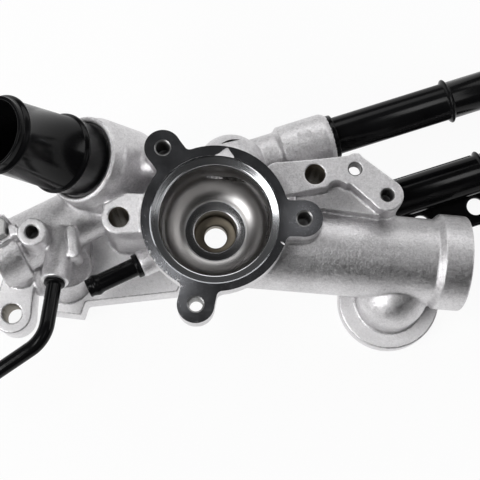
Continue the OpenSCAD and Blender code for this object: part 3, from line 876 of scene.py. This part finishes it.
def floor_material():
    """Pale floor that looks white to the camera and in reflections, and still takes shadows."""
    m = bpy.data.materials.new("floor_white")
    m.use_nodes = True
    nt = m.node_tree
    nt.nodes.clear()
    out = node(nt, "ShaderNodeOutputMaterial")
    diff = node(nt, "ShaderNodeBsdfDiffuse", Color=(0.9, 0.9, 0.9, 1))
    glow = node(nt, "ShaderNodeEmission", Color=(1, 1, 1, 1), Strength=1.0)
    ray = node(nt, "ShaderNodeLightPath")
    seen = math_node(nt, "MAXIMUM", ray.outputs["Is Glossy Ray"], ray.outputs["Is Transmission Ray"])
    seen = math_node(nt, "MAXIMUM", ray.outputs["Is Camera Ray"], seen)
    both = node(nt, "ShaderNodeMixShader")
    nt.links.new(math_node(nt, "MULTIPLY", seen, 0.93), both.inputs[0])
    nt.links.new(diff.outputs[0], both.inputs[1])
    nt.links.new(glow.outputs[0], both.inputs[2])
    nt.links.new(both.outputs[0], out.inputs[0])
    return m


FLOOR_HALF = 1500
FLOOR_TOP = ENGINE_FACE - 0.4
floor_corners = [(x * FLOOR_HALF, y * FLOOR_HALF, FLOOR_TOP) for x, y in ((-1, -1), (1, -1), (1, 1), (-1, 1))]
floor = make("floor", floor_corners, [(0, 1, 2, 3)], floor_material())


def softbox(name, direction, width, height, power):
    """Area lamp one metre from the origin, facing it."""
    d = Vector(unit(direction))
    light = bpy.data.lights.new(name, "AREA")
    light.shape = "RECTANGLE"
    light.size = width
    light.size_y = height
    light.energy = power
    ob = bpy.data.objects.new(name, light)
    ob.location = d
    ob.rotation_euler = d.to_track_quat("Z", "Y").to_euler()
    scene.collection.objects.link(ob)


softbox("top_box", (0.0, 0.83, 0.56), 1.5, 0.44, 4.4)
softbox("left_box", (-0.72, -0.42, 0.55), 0.6, 0.4, 6.2)
softbox("right_box", (0.88, 0.30, 0.37), 0.6, 0.25, 1.4)
softbox("left_fill", (-0.36, -0.05, 0.93), 0.42, 0.26, 2.2)
softbox("right_fill", (0.40, -0.05, 0.92), 0.42, 0.26, 0.35)

# Surroundings: dim, darker towards the photo's lower side, low down and where the flange mirrors them
world = bpy.data.worlds.new("studio")
scene.world = world
world.use_nodes = True
nt = world.node_tree
nt.nodes.clear()
out = node(nt, "ShaderNodeOutputWorld")
bg = node(nt, "ShaderNodeBackground", Strength=1.0)
tc = node(nt, "ShaderNodeTexCoord")
xyz = node(nt, "ShaderNodeSeparateXYZ")
nt.links.new(tc.outputs["Generated"], xyz.inputs[0])
toward = node(nt, "ShaderNodeVectorMath", operation="DOT_PRODUCT")
nt.links.new(tc.outputs["Generated"], toward.inputs[0])
toward.inputs[1].default_value = (0.0, 0.2, 0.98)
across = math_node(nt, "ADD", math_node(nt, "MULTIPLY", xyz.outputs[1], 0.5), 0.5)
sky = ramp(nt, across, (0.2, 0.02), (0.5, 0.10), (0.85, 0.18))
sky = mix(nt, 1.0, sky, ramp(nt, toward.outputs["Value"], (0.90, 1.0), (0.975, 0.18)), "MULTIPLY")
sky = mix(nt, 1.0, sky, ramp(nt, xyz.outputs[2], (0.30, 0.5), (0.55, 1.0)), "MULTIPLY")
ray = node(nt, "ShaderNodeLightPath")
nt.links.new(mix(nt, ray.outputs["Is Camera Ray"], sky, 1.0), bg.inputs["Color"])
nt.links.new(bg.outputs[0], out.inputs[0])

# Camera from the picture: where lines along Z meet, where the pocket's centre lies, and the scale there
PICTURE = 480
LENS = 100.0
SENSOR = 36.0
LINES_MEET = (225.0, 500.0)
POCKET_AT = (215.0, 219.5)
MM_PER_PIXEL = 0.41
half = PICTURE / 2
focal = LENS / SENSOR * PICTURE
meet_x = (LINES_MEET[0] - half) / focal
meet_y = (half - LINES_MEET[1]) / focal
length = math.sqrt(1 + meet_x ** 2 + meet_y ** 2)
right_z = -meet_x / length
ahead_z = -1 / length
right = vec(math.sqrt(1 - right_z ** 2), 0, right_z)
ahead_x = -ahead_z * right_z / right[0]
ahead = vec(ahead_x, math.sqrt(1 - ahead_z ** 2 - ahead_x ** 2), ahead_z)
above = np.cross(-ahead, right)
offset_x = (POCKET_AT[0] - half) * MM_PER_PIXEL
offset_y = (half - POCKET_AT[1]) * MM_PER_PIXEL
eye = -(right * offset_x + above * offset_y + ahead * focal * MM_PER_PIXEL)
cam_data = bpy.data.cameras.new("camera")
cam_data.lens = LENS
cam_data.sensor_width = SENSOR
cam_data.sensor_fit = "HORIZONTAL"
cam_data.clip_start = 0.01
cam_data.clip_end = 20
cam = bpy.data.objects.new("camera", cam_data)
columns = (right, above, -ahead, eye * MM)
rows = [[float(c[i]) for c in columns] for i in range(3)]
cam.matrix_world = Matrix(rows + [[0, 0, 0, 1]])
scene.collection.objects.link(cam)
scene.camera = cam
scene.view_settings.view_transform = "Standard"
